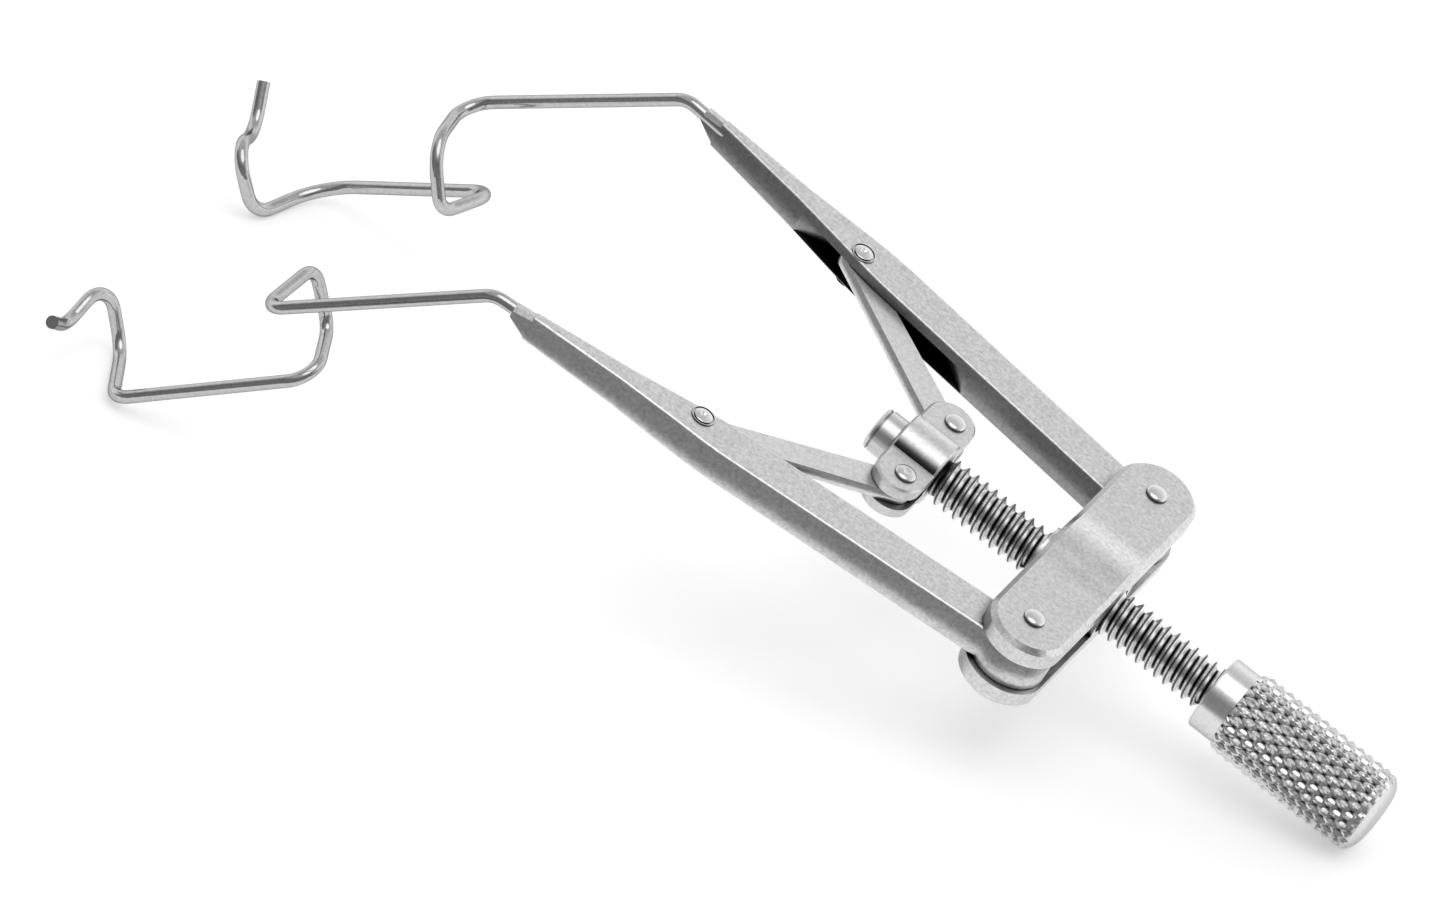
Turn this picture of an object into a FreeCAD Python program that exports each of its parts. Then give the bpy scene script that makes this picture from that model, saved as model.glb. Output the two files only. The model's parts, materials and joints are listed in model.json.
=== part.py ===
import FreeCAD, Part
import math
import os

from FreeCAD import Vector

# Eye speculum: two slotted arms on a riveted bridge, spread by a thumb screw through a yoke and two links.
# Working axes: X along the screw towards the thumb knob, Y to the right arm, Z up from the plane of the arms.
# The origin of the working axes is on the screw axis, half way between the two bridge rivets. Millimetres.

# Running gap between moving faces, radial running fit, and gap between two pieces held together
face_gap = 0.05
radial_fit = 0.05
parting_gap = 0.10

# Bridge: two formed stadium plates over the arm eyes and the screw nut
bridge_width = 6.0
bridge_length = 25.2
bridge_plate = 1.55
bridge_edge_bevel = 0.36
hump_rise = 0.5
hump_half_width = 3.6
bridge_end_margin = 3.27
bridge_rivet_radius = 0.75
bridge_head_radius = 1.0
bridge_head_height = 0.38
nut_radius = 2.3
nut_overhang = 0.35

# Arms: parallel-sided bars that taper to a wire socket, with a saw-cut slot for the link
arm_height = 2.6
arm_tip_height = 2.1
arm_width = 3.45
arm_knee_width = 1.78
arm_tip_width = 0.95
arm_offset = 0.25
arm_angle = 7.1
arm_straight = 24.7
arm_shoulder = 2.6
arm_knee = 32.2
arm_length = 39.6
arm_thin_from = 28.0
arm_eye_radius = 2.75
arm_edge_round = 0.3
fairing_length = 1.5
fairing_wall = 0.08
socket_depth = 1.4
slot_from = 15.0
slot_to = 32.6
slot_depth = 2.7
lower_lip = 0.2

# Link: flat bar between the yoke rivet and the arm pin, with a long hole at the arm pin
link_thickness = 0.92
link_yoke_width = 2.2
link_arm_width = 1.76
link_pin_along = 26.36
link_pin_out = -0.36
link_pin_radius = 0.5
link_head_radius = 0.78
link_head_height = 0.14
link_collar_radius = 0.82
link_travel = 0.5
link_hole_clearance = 0.16

# Yoke: two formed plates that swivel on the neck of the screw
yoke_x = -13.5
yoke_rivet_y = 3.8
yoke_front = 2.15
yoke_rear = 1.55
yoke_length = 11.3
yoke_flat_top = 1.4
yoke_hump_radius = 2.5
yoke_edge_bevel = 0.14
yoke_rivet_radius = 0.5
yoke_head_radius = 0.8
yoke_head_height = 0.35

# Screw, its neck in the yoke, its end cap and the thumb knob
screw_diameter = 3.5
neck_diameter = 2.4
cap_diameter = 3.3
cap_length = 1.45
cap_dome = 0.35
spigot_length = 1.0
collar_front = 11.8
collar_diameter = 5.6
collar_length = 2.1
knob_diameter = 6.5
knob_length = 10.8
knob_end_dome = 1.3
knob_end_flat_radius = 1.6
knob_bore_depth = 8.0

# Blades: one bent wire on each arm, hung below the arm plane, with a hook at each end of the lid bar
wire_diameter = 0.93
bend_reach = 3.11
bend_out = 0.08
bend_z = 0.4
drop_angle = 45.7
shank_length = 18.1
shank_out = 0.8
bar_offset = 6.1
bar_start = 16.4
bar_length = 15.1
bar_rear_out = -0.7
bar_front_out = 1.25

# Hooks at the two ends of the lid bar, with their floors towards the screw axis
inner_floor = -5.6
inner_floor_slope = 0.55
inner_floor_lean = 0.9
inner_floor_skew = 0.7
inner_floor_width = 4.9
outer_floor = -4.65
outer_floor_slope = 0.25
outer_floor_reach = 2.15
outer_floor_skew = 0.45
outer_floor_tuck = 0.8
outer_floor_width = 5.4
return_reach = 3.1
return_offset = 1.2
return_out = -0.3
free_end_back = 0.5
right_free_end_offset = -1.65
left_free_end_offset = -0.15
free_end_out = 1.9

# Bend radii along each hand-bent wire, from the arm socket to the free end
right_bend_radii = [1.9, 1.9, 2.4, 1.3, 2.0, 3.7, 1.9, 1.7, 2.3]
left_bend_radii = [1.9, 1.4, 1.5, 1.3, 1.9, 1.5, 1.9, 1.7, 2.1]


# Derived sizes shared by several pieces
plate_inner = arm_height / 2 + face_gap
plate_outer = plate_inner + bridge_plate
bridge_rivet_y = bridge_length / 2 - bridge_end_margin
screw_radius = screw_diameter / 2
neck_radius = neck_diameter / 2
yoke_inner = link_thickness / 2 + face_gap
yoke_front_x = yoke_x - yoke_front
yoke_rear_x = yoke_x + yoke_rear
arm_cos = math.cos(math.radians(arm_angle))
arm_sin = math.sin(math.radians(arm_angle))
wire_radius = wire_diameter / 2


def arm_point(along, out, z=0.0):
    # Place on the right arm, from the distance along the arm and outward from its hinge
    x = -along * arm_cos + out * arm_sin
    y = bridge_rivet_y + along * arm_sin + out * arm_cos
    return Vector(x, y, z)


def pin_point(z=0.0):
    return arm_point(link_pin_along, link_pin_out, z)


def wire_seat():
    return arm_point(arm_length - socket_depth, arm_offset, bend_z)


def wire_bend():
    return arm_point(arm_length + bend_reach, bend_out, bend_z)


def mirrored(shape):
    return shape.mirror(Vector(0, 0, 0), Vector(0, 1, 0))


def below(shape):
    return shape.mirror(Vector(0, 0, 0), Vector(0, 0, 1))


def prism(points, depth):
    wire = Part.makePolygon(points + [points[0]])
    return Part.Face(wire).extrude(depth)


def rod(radius, start, length, direction=Vector(0, 0, 1)):
    return Part.makeCylinder(radius, length, start, direction)


def revolved(points, axis_point, axis):
    face = Part.Face(Part.makePolygon(points + [points[0]]))
    return face.revolve(axis_point, axis, 360)


def stadium(length, front, rear, z, height):
    # Rounded bar in plan, long in Y, with full-round ends
    radius = (front + rear) / 2
    centre = (rear - front) / 2
    reach = length / 2 - radius
    a = Vector(centre - radius, -reach, z)
    b = Vector(centre - radius, reach, z)
    c = Vector(centre + radius, reach, z)
    d = Vector(centre + radius, -reach, z)
    top = Part.Arc(b, Vector(centre, reach + radius, z), c).toShape()
    bottom = Part.Arc(d, Vector(centre, -reach - radius, z), a).toShape()
    outline = Part.Wire([Part.makeLine(a, b), top, Part.makeLine(c, d), bottom])
    return Part.Face(outline).extrude(Vector(0, 0, height))


def rounded(shape, radius, keep):
    edges = [edge for edge in shape.Edges if keep(edge)]
    return shape.makeFillet(radius, edges)


def bevelled(shape, size, keep):
    edges = [edge for edge in shape.Edges if keep(edge)]
    return shape.makeChamfer(size, edges)


# Bridge


def bridge_plate_shape():
    # Sheet section across the screw: flat wings and a shallow hump, run through the width of the plate
    reach = bridge_length
    crown = plate_outer + hump_rise
    quarter = hump_half_width / 2
    shoulder = plate_outer + hump_rise / 2
    dip = hump_rise * 0.1
    left = Vector(0, -hump_half_width, plate_outer)
    left_mid = Vector(0, -quarter, shoulder)
    right_mid = Vector(0, quarter, shoulder)
    right = Vector(0, hump_half_width, plate_outer)
    rise_left = Part.Arc(left, Vector(0, -quarter * 1.5, plate_outer + dip), left_mid).toShape()
    crown_arc = Part.Arc(left_mid, Vector(0, 0, crown), right_mid).toShape()
    rise_right = Part.Arc(right_mid, Vector(0, quarter * 1.5, plate_outer + dip), right).toShape()
    far_left = Vector(0, -reach, plate_outer)
    far_right = Vector(0, reach, plate_outer)
    low_right = Vector(0, reach, plate_inner)
    low_left = Vector(0, -reach, plate_inner)
    edges = [
        Part.makeLine(far_left, left),
        rise_left,
        crown_arc,
        rise_right,
        Part.makeLine(right, far_right),
        Part.makeLine(far_right, low_right),
        Part.makeLine(low_right, low_left),
        Part.makeLine(low_left, far_left),
    ]
    section = Part.Face(Part.Wire(edges))
    section.translate(Vector(-bridge_width, 0, 0))
    formed = section.extrude(Vector(2 * bridge_width, 0, 0))
    half = bridge_width / 2
    plate = formed.common(stadium(bridge_length, half, half, 0, 2 * crown))
    plate = bevelled(plate, bridge_edge_bevel, lambda edge: edge.BoundBox.ZMin > plate_outer - 0.01)
    seat = rod(nut_radius, Vector(-bridge_width, 0, 0), 2 * bridge_width, Vector(1, 0, 0))
    plate = plate.cut(seat)
    for side in (-1, 1):
        plate = plate.cut(rod(bridge_rivet_radius, Vector(0, side * bridge_rivet_y, 0), 2 * crown))
    return plate


def screw_nut_shape():
    # Threaded sleeve between the plates, shown with its plain bore over the thread crests
    start = Vector(-bridge_width / 2 - nut_overhang, 0, 0)
    length = bridge_width + nut_overhang
    sleeve = rod(nut_radius, start, length, Vector(1, 0, 0))
    return sleeve.cut(rod(screw_radius + radial_fit, start, length, Vector(1, 0, 0)))


def button(radius, height, base, direction):
    # Low crowned head in two bevels that stands on a disc of the given radius
    waist = radius * 0.84
    middle = height * 0.55
    shoulder = Part.makeCone(radius, waist, middle, base, direction)
    crown = Part.makeCone(waist, radius * 0.4, height - middle, base + direction * middle, direction)
    return shoulder.fuse(crown)


def domed_rivet(x, y, shank, half_grip, head, rise):
    # Straight shank with a crowned head on each face
    rivet = rod(shank, Vector(x, y, -half_grip), 2 * half_grip)
    for side in (-1, 1):
        rivet = rivet.fuse(button(head, rise, Vector(x, y, side * half_grip), Vector(0, 0, side)))
    return rivet


def bridge_rivet_shape():
    return domed_rivet(
        0, bridge_rivet_y, bridge_rivet_radius, plate_outer, bridge_head_radius, bridge_head_height
    )


# Arms


def arm_plan():
    # Plan of the right arm: parallel bar, soft shoulders, a taper to the knee and a slower one to the tip
    half = arm_width / 2
    knee = arm_knee_width / 2
    tip = arm_tip_width / 2
    slope = (half - knee) / (arm_knee - arm_straight)
    blend = arm_shoulder / 2
    edges = []
    ends = []
    for side in (1, -1):
        start = arm_point(0, arm_offset + side * half)
        before = arm_point(arm_straight - blend, arm_offset + side * half)
        middle = arm_point(arm_straight, arm_offset + side * (half - blend * slope / 4))
        after = arm_point(arm_straight + blend, arm_offset + side * (half - blend * slope))
        turn = arm_point(arm_knee, arm_offset + side * knee)
        end = arm_point(arm_length, arm_offset + side * tip)
        edges.append(Part.makeLine(start, before))
        edges.append(Part.Arc(before, middle, after).toShape())
        edges.append(Part.makeLine(after, turn))
        edges.append(Part.makeLine(turn, end))
        ends.append((start, end))
    edges.append(Part.makeLine(ends[0][1], ends[1][1]))
    edges.append(Part.makeLine(ends[0][0], ends[1][0]))
    outline = Part.Wire(Part.__sortEdges__(edges))
    return Part.Face(outline)


def arm_side_profile():
    # Side view of the arm, which thins towards the tip, swept across the whole width
    half = arm_height / 2
    tip = arm_tip_height / 2
    back = -2 * arm_eye_radius
    far = -3 * arm_width
    points = [
        arm_point(back, far, -half),
        arm_point(arm_thin_from, far, -half),
        arm_point(arm_length + arm_width, far, -tip),
        arm_point(arm_length + arm_width, far, tip),
        arm_point(arm_thin_from, far, half),
        arm_point(back, far, half),
    ]
    across = arm_point(0, 6 * arm_width) - arm_point(0, 0)
    return prism(points, across)


def link_slot():
    # Disc of the slitting saw that cuts the slot from the inner side of the arm, low in its height
    half = (slot_to - slot_from) / 2
    radius = (half * half + slot_depth * slot_depth) / (2 * slot_depth)
    inner = arm_offset - arm_width / 2
    top = link_thickness / 2 + face_gap
    floor = lower_lip - arm_height / 2
    centre = arm_point((slot_from + slot_to) / 2, inner + slot_depth - radius, floor)
    return rod(radius, centre, top - floor)


def upright_octagon(along, width, height, z):
    # Bevelled upright outline across the right arm
    half = width / 2
    rise = height / 2
    bevel = min(half, rise) * 0.55
    corners = [
        (-half, bevel - rise),
        (-half, rise - bevel),
        (bevel - half, rise),
        (half - bevel, rise),
        (half, rise - bevel),
        (half, bevel - rise),
        (half - bevel, -rise),
        (bevel - half, -rise),
    ]
    points = [arm_point(along, arm_offset + out, z + up) for out, up in corners]
    return Part.makePolygon(points + [points[0]])


def arm_fairing():
    # Tapered neck that closes the arm tip round the wire
    base = upright_octagon(arm_length - face_gap, arm_tip_width, arm_tip_height, 0)
    mouth_width = wire_diameter + 2 * fairing_wall
    mouth = upright_octagon(arm_length + fairing_length, mouth_width, mouth_width, bend_z)
    return Part.makeLoft([base, mouth], True, True)


def arm_shape():
    half = arm_height / 2
    plan = arm_plan()
    bar = plan.extrude(Vector(0, 0, arm_height))
    bar.translate(Vector(0, 0, -half))
    arm = bar.common(arm_side_profile()).removeSplitter()
    arm = rounded(arm, arm_edge_round, is_long_edge)
    arm = arm.fuse(rod(arm_eye_radius, Vector(0, bridge_rivet_y, -half), arm_height))
    arm = arm.fuse(arm_fairing())
    arm = arm.cut(link_slot())
    hinge = rod(bridge_rivet_radius + radial_fit, Vector(0, bridge_rivet_y, -arm_height), 2 * arm_height)
    arm = arm.cut(hinge)
    arm = arm.cut(rod(link_pin_radius, pin_point(-arm_height), 2 * arm_height))
    seat = wire_seat()
    socket_axis = wire_bend() - seat
    arm = arm.cut(rod(wire_radius, seat, socket_depth + 2 * fairing_length, socket_axis))
    return arm.removeSplitter()


def is_long_edge(edge):
    # Edges of the bar that run along it, not across its ends or up its corners
    box = edge.BoundBox
    return box.ZLength < arm_height * 0.5 and box.XLength > arm_shoulder * 0.5


def link_pin_shape():
    # Low riveted pin through both lips of the slot, with a collar that carries the link
    half = arm_height / 2
    pin = rod(link_pin_radius, pin_point(-half), arm_height)
    for side in (-1, 1):
        face = pin_point(side * half)
        rim = link_head_radius - link_head_height
        pin = pin.fuse(Part.makeCone(link_head_radius, rim, link_head_height, face, Vector(0, 0, side)))
    floor = lower_lip - half
    under_link = -link_thickness / 2 - face_gap
    collar = rod(link_collar_radius, pin_point(floor), under_link - floor)
    return pin.fuse(collar)


# Links


def link_shape():
    # Slightly tapered full-round bar along the line of the two pins
    yoke_end = Vector(yoke_x, yoke_rivet_y, 0)
    arm_end = pin_point()
    line = arm_end - yoke_end
    length = line.Length
    angle = math.degrees(math.atan2(line.y, line.x))
    far = length + link_travel
    near_half = link_yoke_width / 2
    far_half = link_arm_width / 2
    lean = (near_half - far_half) / far
    rise = math.sqrt(1 - lean * lean)
    a = Vector(near_half * lean, -near_half * rise, 0)
    b = Vector(far + far_half * lean, -far_half * rise, 0)
    c = Vector(far + far_half * lean, far_half * rise, 0)
    d = Vector(near_half * lean, near_half * rise, 0)
    far_end = Part.Arc(b, Vector(far + far_half, 0, 0), c).toShape()
    near_end = Part.Arc(d, Vector(-near_half, 0, 0), a).toShape()
    outline = Part.Wire([Part.makeLine(a, b), far_end, Part.makeLine(c, d), near_end])
    link = Part.Face(outline).extrude(Vector(0, 0, link_thickness))
    link = link.cut(rod(yoke_rivet_radius + radial_fit, Vector(0, 0, 0), link_thickness))
    hole_radius = link_pin_radius + link_hole_clearance
    hole = rod(hole_radius, Vector(length, 0, 0), link_thickness)
    hole = hole.fuse(rod(hole_radius, Vector(far, 0, 0), link_thickness))
    middle = Part.makeBox(link_travel, 2 * hole_radius, link_thickness, Vector(length, -hole_radius, 0))
    link = link.cut(hole.fuse(middle).removeSplitter())
    link.translate(Vector(0, 0, -link_thickness / 2))
    link.rotate(Vector(0, 0, 0), Vector(0, 0, 1), angle)
    link.translate(yoke_end)
    return link


# Yoke


def yoke_plate_shape():
    # Flat wings over the link eyes and a round hump that bears on the neck of the screw
    half_chord = math.sqrt(yoke_hump_radius ** 2 - yoke_flat_top ** 2)
    waist = yoke_hump_radius * 0.92
    reach = yoke_length
    low = parting_gap / 2
    left = Vector(0, -half_chord, yoke_flat_top)
    right = Vector(0, half_chord, yoke_flat_top)
    corners = [
        Vector(0, reach, yoke_flat_top),
        Vector(0, reach, yoke_inner),
        Vector(0, waist, yoke_inner),
        Vector(0, waist, low),
        Vector(0, -waist, low),
        Vector(0, -waist, yoke_inner),
        Vector(0, -reach, yoke_inner),
        Vector(0, -reach, yoke_flat_top),
        left,
    ]
    edges = [Part.Arc(left, Vector(0, 0, yoke_hump_radius), right).toShape()]
    for start, end in zip([right] + corners[:-1], corners):
        edges.append(Part.makeLine(start, end))
    section = Part.Face(Part.Wire(edges))
    section.translate(Vector(yoke_x - yoke_length, 0, 0))
    formed = section.extrude(Vector(2 * yoke_length, 0, 0))
    width = yoke_front + yoke_rear
    outline = stadium(yoke_length, width / 2, width / 2, 0, 2 * yoke_hump_radius)
    outline.translate(Vector((yoke_front_x + yoke_rear_x) / 2, 0, 0))
    plate = formed.common(outline)
    plate = bevelled(plate, yoke_edge_bevel, yoke_top_edge)
    plate = plate.cut(rod(neck_radius + radial_fit, Vector(-50, 0, 0), 60, Vector(1, 0, 0)))
    for side in (-1, 1):
        plate = plate.cut(rod(yoke_rivet_radius, Vector(yoke_x, side * yoke_rivet_y, 0), yoke_hump_radius))
    return plate


def yoke_top_edge(edge):
    # Outer rim of the formed top face, leaving the two bend lines beside the hump sharp
    box = edge.BoundBox
    bend_line = box.XLength > (yoke_front + yoke_rear) * 0.9 and box.YLength < 0.01
    return box.ZMin > yoke_flat_top - 0.01 and not bend_line


def yoke_rivet_shape():
    return domed_rivet(yoke_x, yoke_rivet_y, yoke_rivet_radius, yoke_flat_top, yoke_head_radius, yoke_head_height)


# Screw


def screw_shape():
    # Rod at the thread crests, a reduced neck in the yoke and a spigot for the end cap
    shoulder = yoke_rear_x + face_gap
    neck_end = yoke_front_x - face_gap
    tail = collar_front + knob_bore_depth
    points = [
        Vector(neck_end - spigot_length, 0, 0),
        Vector(neck_end - spigot_length, neck_radius, 0),
        Vector(shoulder, neck_radius, 0),
        Vector(shoulder, screw_radius, 0),
        Vector(tail, screw_radius, 0),
        Vector(tail, 0, 0),
    ]
    return revolved(points, Vector(0, 0, 0), Vector(1, 0, 0))


def end_cap_shape():
    # Plain button on the spigot, with a slightly crowned front face
    rear = Vector(yoke_front_x - face_gap, 0, 0)
    forward = Vector(-1, 0, 0)
    radius = cap_diameter / 2
    cap = rod(radius, rear, cap_length, forward)
    cap = cap.fuse(button(radius, cap_dome, rear + forward * cap_length, forward))
    return cap.cut(rod(neck_radius, rear, spigot_length, forward))


def thumb_knob_shape():
    # Smooth collar, knurled grip at its crest diameter and a rear end crowned in three bevels
    collar = collar_diameter / 2
    grip = knob_diameter / 2
    step = collar_front + collar_length
    rear = step + knob_length
    tail = collar_front + knob_bore_depth
    fall = grip - knob_end_flat_radius
    points = [
        Vector(collar_front, screw_radius, 0),
        Vector(collar_front, collar, 0),
        Vector(step, collar, 0),
        Vector(step, grip, 0),
        Vector(rear, grip, 0),
        Vector(rear + knob_end_dome * 0.5, grip - fall * 0.16, 0),
        Vector(rear + knob_end_dome * 0.87, grip - fall * 0.55, 0),
        Vector(rear + knob_end_dome, knob_end_flat_radius, 0),
        Vector(rear + knob_end_dome, 0, 0),
        Vector(tail, 0, 0),
        Vector(tail, screw_radius, 0),
    ]
    return revolved(points, Vector(0, 0, 0), Vector(1, 0, 0))


# Wire blades


def wire_points(free_end_offset):
    # Corners of the bent wire: along the drop of the shank, across it, and out from the screw axis
    drop = math.radians(drop_angle)
    along = Vector(-math.cos(drop), 0, -math.sin(drop))
    across = Vector(math.sin(drop), 0, -math.cos(drop))
    out = Vector(0, 1, 0)
    bend = wire_bend()
    bar_end = bar_start + bar_length
    inner_side = shank_length - inner_floor_lean
    outer_side = bar_end + outer_floor_reach
    outer_near = bar_offset - outer_floor_tuck

    def place(down, over, outward):
        return bend + along * down + across * over + out * outward

    return [
        wire_seat(),
        bend,
        place(shank_length, 0, shank_out),
        place(inner_side, 0, inner_floor),
        place(inner_side + inner_floor_skew, inner_floor_width, inner_floor - inner_floor_slope),
        place(bar_start, bar_offset, bar_rear_out),
        place(bar_end, bar_offset, bar_front_out),
        place(outer_side, outer_near, outer_floor),
        place(outer_side - outer_floor_skew, outer_near - outer_floor_width, outer_floor - outer_floor_slope),
        place(bar_end + return_reach, return_offset, return_out),
        place(bar_end + return_reach - free_end_back, free_end_offset, free_end_out),
    ]


def wire_blade_shape(bend_radii, free_end_offset):
    # Round wire in straight runs joined by tangent bends
    points = wire_points(free_end_offset)
    last = points[0]
    heading = points[1] - points[0]
    ring = Part.makeCircle(wire_radius, last, heading)
    skins = [Part.Face(Part.Wire(ring))]
    for index in range(1, len(points) - 1):
        corner = points[index]
        before = points[index - 1] - corner
        after = points[index + 1] - corner
        room = 0.48 * min(before.Length, after.Length)
        before.normalize()
        after.normalize()
        half_angle = before.getAngle(after) / 2
        trim = min(bend_radii[index - 1] / math.tan(half_angle), room)
        radius = trim * math.tan(half_angle)
        bisector = before + after
        bisector.normalize()
        start = corner + before * trim
        centre = corner + bisector * (radius / math.sin(half_angle))
        axis = after.cross(before)
        skins.append(ring.extrude(start - last))
        ring.translate(start - last)
        skins.append(ring.revolve(centre, axis, 180 - math.degrees(2 * half_angle)))
        ring.rotate(centre, axis, 180 - math.degrees(2 * half_angle))
        last = corner + after * trim
    skins.append(ring.extrude(points[-1] - last))
    ring.translate(points[-1] - last)
    skins.append(Part.Face(Part.Wire(ring)))
    shell = Part.makeCompound(skins)
    shell.sewShape()
    blade = Part.Solid(Part.Shell(shell.Faces))
    if blade.Volume < 0:
        blade.reverse()
    return blade


# Resting place: the part lies on the outer corners of its blades and on the rear rim of the knob


def rest_placement(blade, knob):
    blade_points = [Vector(p) for p in blade.tessellate(0.02)[0]]
    knob_points = [Vector(p) for p in knob.tessellate(0.02)[0]]
    tilt = 0.0
    for _ in range(40):
        turn = FreeCAD.Rotation(Vector(0, 1, 0), math.degrees(tilt))
        low_blade = min((turn.multVec(p) for p in blade_points), key=lambda p: p.z)
        low_knob = min((turn.multVec(p) for p in knob_points), key=lambda p: p.z)
        tilt += math.atan2(low_knob.z - low_blade.z, low_knob.x - low_blade.x)
    turn = FreeCAD.Rotation(Vector(0, 1, 0), math.degrees(tilt))
    lowest = min(turn.multVec(p).z for p in blade_points + knob_points)
    front = min(turn.multVec(p).x for p in blade_points)
    rear = max(turn.multVec(p).x for p in knob_points)
    return turn, Vector(-(front + rear) / 2, 0, -lowest)


def build():
    plate = bridge_plate_shape()
    yoke = yoke_plate_shape()
    nodes = {
        "bridge_plate_top": plate,
        "bridge_plate_bottom": below(plate),
        "screw_nut": screw_nut_shape(),
        "yoke_plate_top": yoke,
        "yoke_plate_bottom": below(yoke),
        "screw": screw_shape(),
        "screw_end_cap": end_cap_shape(),
        "thumb_knob": thumb_knob_shape(),
    }
    paired = {
        "bridge_rivet": bridge_rivet_shape(),
        "arm": arm_shape(),
        "link_pin": link_pin_shape(),
        "link": link_shape(),
        "yoke_rivet": yoke_rivet_shape(),
    }
    for name, shape in paired.items():
        nodes[name + "_right"] = shape
        nodes[name + "_left"] = mirrored(shape)
    nodes["wire_blade_right"] = wire_blade_shape(right_bend_radii, right_free_end_offset)
    nodes["wire_blade_left"] = mirrored(wire_blade_shape(left_bend_radii, left_free_end_offset))
    turn, shift = rest_placement(nodes["wire_blade_right"], nodes["thumb_knob"])
    print("rest tilt, degrees %.6f" % math.degrees(turn.Angle))
    print("rest shift, mm %.6f %.6f %.6f" % (shift.x, shift.y, shift.z))
    place = FreeCAD.Placement(shift, turn)
    for name, shape in nodes.items():
        shape.transformShape(place.toMatrix(), True)
        solids = shape.Solids
        print(name, len(solids), "volume %.3f" % shape.Volume, "valid", shape.isValid())
        solids[0].exportStep("parts/" + name + ".step")


os.makedirs("parts", exist_ok=True)
build()
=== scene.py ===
import json
import math

import bpy
from mathutils import Matrix, Vector


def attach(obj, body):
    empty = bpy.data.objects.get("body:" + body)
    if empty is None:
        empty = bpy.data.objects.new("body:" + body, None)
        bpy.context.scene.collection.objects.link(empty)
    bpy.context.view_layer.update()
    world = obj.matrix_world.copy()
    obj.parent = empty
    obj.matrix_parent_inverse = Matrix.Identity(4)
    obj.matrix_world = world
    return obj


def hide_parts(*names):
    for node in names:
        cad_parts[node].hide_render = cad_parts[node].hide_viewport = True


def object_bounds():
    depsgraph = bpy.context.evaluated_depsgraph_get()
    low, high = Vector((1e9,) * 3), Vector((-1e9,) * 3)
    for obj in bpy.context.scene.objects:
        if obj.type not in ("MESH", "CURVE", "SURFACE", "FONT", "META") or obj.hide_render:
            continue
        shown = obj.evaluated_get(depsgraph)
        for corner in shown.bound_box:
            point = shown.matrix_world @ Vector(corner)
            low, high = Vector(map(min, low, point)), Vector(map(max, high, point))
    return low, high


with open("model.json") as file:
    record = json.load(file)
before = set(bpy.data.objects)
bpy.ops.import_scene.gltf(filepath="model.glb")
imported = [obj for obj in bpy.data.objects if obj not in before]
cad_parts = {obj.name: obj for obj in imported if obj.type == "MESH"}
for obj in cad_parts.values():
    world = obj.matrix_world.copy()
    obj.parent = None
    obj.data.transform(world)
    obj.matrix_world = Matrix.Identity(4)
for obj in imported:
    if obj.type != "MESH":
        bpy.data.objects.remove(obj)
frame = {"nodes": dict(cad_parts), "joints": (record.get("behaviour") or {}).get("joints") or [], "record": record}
cad_low, cad_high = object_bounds()
cad_centre = (cad_low + cad_high) / 2

MM = 0.001

# The photo: its scale, the pixel of the instrument's origin and its directions in the instrument frame

PHOTO_SIZE = (1440, 900)
PIXELS_PER_MM = 14.709
ORIGIN_PIXEL = (1077.0, 584.3)
VIEW_RIGHT = Vector((0.7833, 0.4456, 0.4335))
VIEW_DOWN = Vector((0.6149, -0.4527, -0.6458))
CAMERA_DISTANCE = 400
CLIP_RANGE = (0.01, 10)

# Light: a level of 1 is white, heights and depths are those of a unit direction, lengths are in metres

SKY_LOW_LEVEL = 1.22
SKY_HIGH_LEVEL = 0.62
SKY_HEIGHTS = (0.25, 0.92)
DIM_LEVEL = 0.21
DIM_HEIGHTS = (0.9, 0.5)
DIM_DEPTHS = (0.2, -0.3)
KEY_TOWARD = Vector((0.18, -0.18, 0.97))
KEY_DISTANCE = 0.8
KEY_SIZE = 0.7
KEY_POWER = 1.5

# Floor and card: their sizes are in metres, and the card's places in millimetres from the object

FLOOR_SIZE = 6.0
FLOOR_GRAIN = {"scale": 400, "detail": 3.0, "roughness": 0.5}
FLOOR_GRAIN_BAND = (0.2, 0.8)
FLOOR_TONES = (0.955, 0.975)
FLOOR_ROUGHNESS = 0.9
FLOOR_SPECULAR = 0.1
FLOOR_GLOW = 0.3
CARD_SIZE = 1.6
CARD_HEIGHT = 0.2
CARD_BEFORE = 32
CARD_FADE = 20
CARD_BESIDE = 18
CARD_BESIDE_FADE = 3
CARD_UNDER = (2, 6)

# Steel: strengths that all finishes share, lengths in millimetres

STEEL_TINT = (1.0, 1.0, 1.004)
NOISE_MIDDLE = 0.5
GRAIN_SWING = 4
GRAIN_DETAIL = 2.0
GRAIN_ROUGHNESS = 0.65
CLOUD_SCALE = 0.7
CLOUD_DETAIL = 3.0
CLOUD_ROUGHNESS = 0.6
CLOUD_SHADE = 0.12
CLOUD_GLOSS = 0.1
RELIEF_HEIGHT = 0.02
# From here to FRONT_SLOPES: painted shade in cavities, pits, steep heads, side flanks, inner and front faces, and
# a painted dark reflection on thread crests
CAVITY_SAMPLES = 12
PIT_LOSS = 0.99
PIT_START_FADE = 0.05
PIT_END_FADE = 0.5
CREST_BAND = (0.1, 0.03)
CREST_SHARE = 0.12
STEEP_SHARE = 0.3
FLANK_LOSS = 0.97
FLANK_FADE = 0.1
FLANK_SLOPES = (0.5, 0.8)
INNER_SLOPES = (-0.8, -0.3)
FRONT_SLOPES = (-0.85, -0.35)
TOP_SLOPES = (0.9, 0.99)
SIDE_SLOPES = (0.3, 0.05)
DULL_FADE = 0.8
CROWN_SLOPES = (0.55, 0.1)
CROWN_RISE = (-1.0, 0.7)
CROWN_FALL = (-0.6, -1.0)
CROWN_FALL_SHARE = 0.3
# Inset from the yoke rivets within which the yoke's flanks get painted shade
YOKE_FLANK_INSET = 0.6

# Screw and knob, in millimetres. Crest and root are shares of the pitch, deep and clear of the depth

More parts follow.
